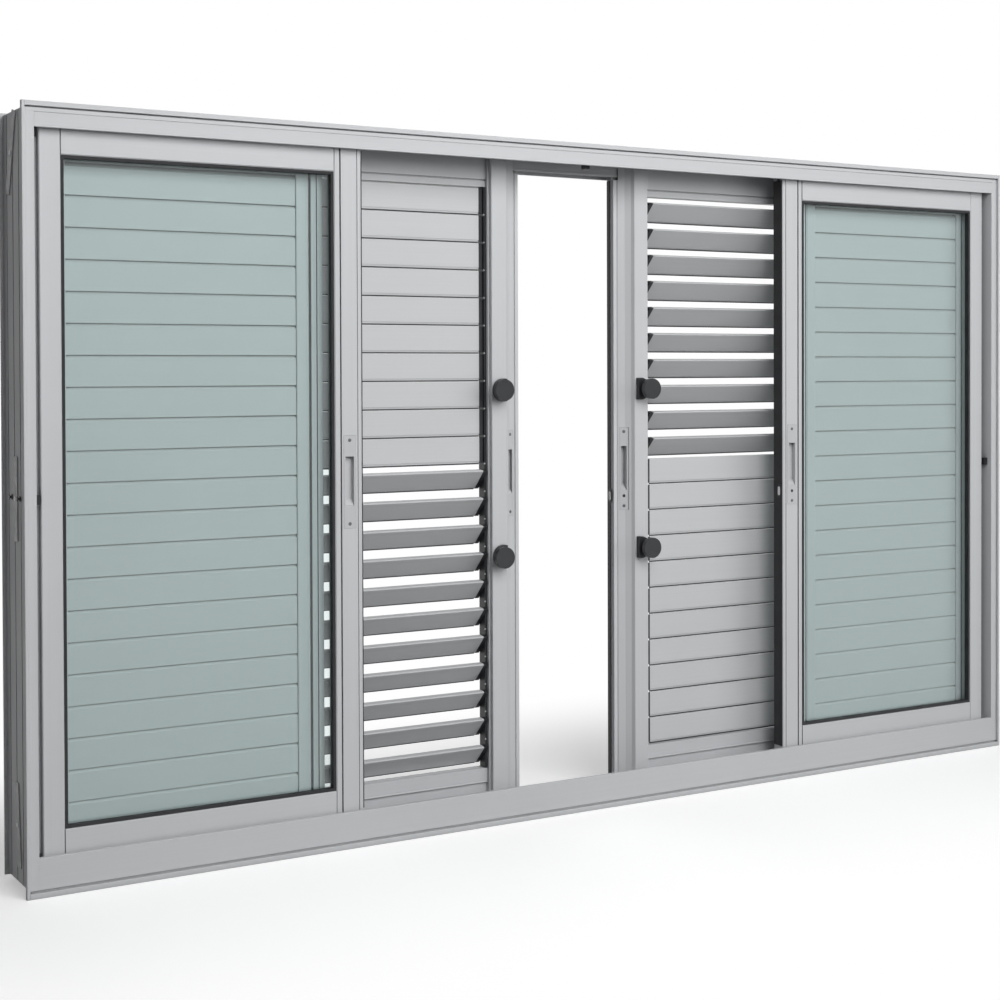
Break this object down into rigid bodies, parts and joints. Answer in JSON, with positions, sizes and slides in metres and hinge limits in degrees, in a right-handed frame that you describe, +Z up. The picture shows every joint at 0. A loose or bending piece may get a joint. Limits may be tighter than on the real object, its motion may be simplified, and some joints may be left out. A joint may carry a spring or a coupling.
{
  "type": "six-leaf sliding window with louvred shutters",
  "caption": "Aluminium sliding window, seen from the room, with glass sashes slid to the ends, fixed louvred shutters behind them and two part-open sliding shutters with tilting slats.",
  "frame": {"origin": "middle of the window's bounding box at its bottom", "axes": "+Z up, +X to the right as seen from the room, +Y from the room to the outside"},
  "size_m": [2.05, 0.1296, 1.2],
  "materials": {
    "frame_aluminium": "satin",
    "leaf_aluminium": "satin",
    "slat_aluminium": "satin",
    "pull_plate": "satin",
    "galvanised_straps": "dull",
    "window_glass": "clear",
    "seal_rubber": "matt",
    "stop_rubber": "matt",
    "black_plastic": "satin"
  },
  "bodies": {
    "root": {"edge_seals": "seal_rubber", "fixed_left_bottom_rail": "leaf_aluminium", "fixed_left_inner_stile": "leaf_aluminium", "fixed_left_outer_stile": "leaf_aluminium", "fixed_left_slats": "slat_aluminium", "fixed_left_top_rail": "leaf_aluminium", "fixed_right_bottom_rail": "leaf_aluminium", "fixed_right_inner_stile": "leaf_aluminium", "fixed_right_outer_stile": "leaf_aluminium", "fixed_right_slats": "slat_aluminium", "fixed_right_top_rail": "leaf_aluminium", "frame_head": "frame_aluminium", "frame_jamb_left": "frame_aluminium", "frame_jamb_right": "frame_aluminium", "frame_sill": "frame_aluminium", "frame_stops": "stop_rubber", "frame_straps": "galvanised_straps", "sash_left_bottom_rail": "leaf_aluminium", "sash_left_gasket": "seal_rubber", "sash_left_handle_stile": "leaf_aluminium", "sash_left_outer_stile": "leaf_aluminium", "sash_left_pane": "window_glass", "sash_left_pull": "pull_plate", "sash_left_top_rail": "leaf_aluminium", "sash_right_bottom_rail": "leaf_aluminium", "sash_right_gasket": "seal_rubber", "sash_right_handle_stile": "leaf_aluminium", "sash_right_outer_stile": "leaf_aluminium", "sash_right_pane": "window_glass", "sash_right_pull": "pull_plate", "sash_right_top_rail": "leaf_aluminium", "shutter_left_bottom_rail": "leaf_aluminium", "shutter_left_lower_knob": "black_plastic", "shutter_left_lower_slats": "slat_aluminium", "shutter_left_meeting_stile": "leaf_aluminium", "shutter_left_outer_stile": "leaf_aluminium", "shutter_left_pivot_strips": "black_plastic", "shutter_left_pull": "pull_plate", "shutter_left_slat_trims": "black_plastic", "shutter_left_top_rail": "leaf_aluminium", "shutter_left_upper_knob": "black_plastic", "shutter_left_upper_slats": "slat_aluminium", "shutter_right_bottom_rail": "leaf_aluminium", "shutter_right_lower_knob": "black_plastic", "shutter_right_lower_slats": "slat_aluminium", "shutter_right_meeting_stile": "leaf_aluminium", "shutter_right_outer_stile": "leaf_aluminium", "shutter_right_pivot_strips": "black_plastic", "shutter_right_pull": "pull_plate", "shutter_right_slat_trims": "black_plastic", "shutter_right_top_rail": "leaf_aluminium", "shutter_right_upper_knob": "black_plastic", "shutter_right_upper_slats": "slat_aluminium"}
  },
  "joints": []
}
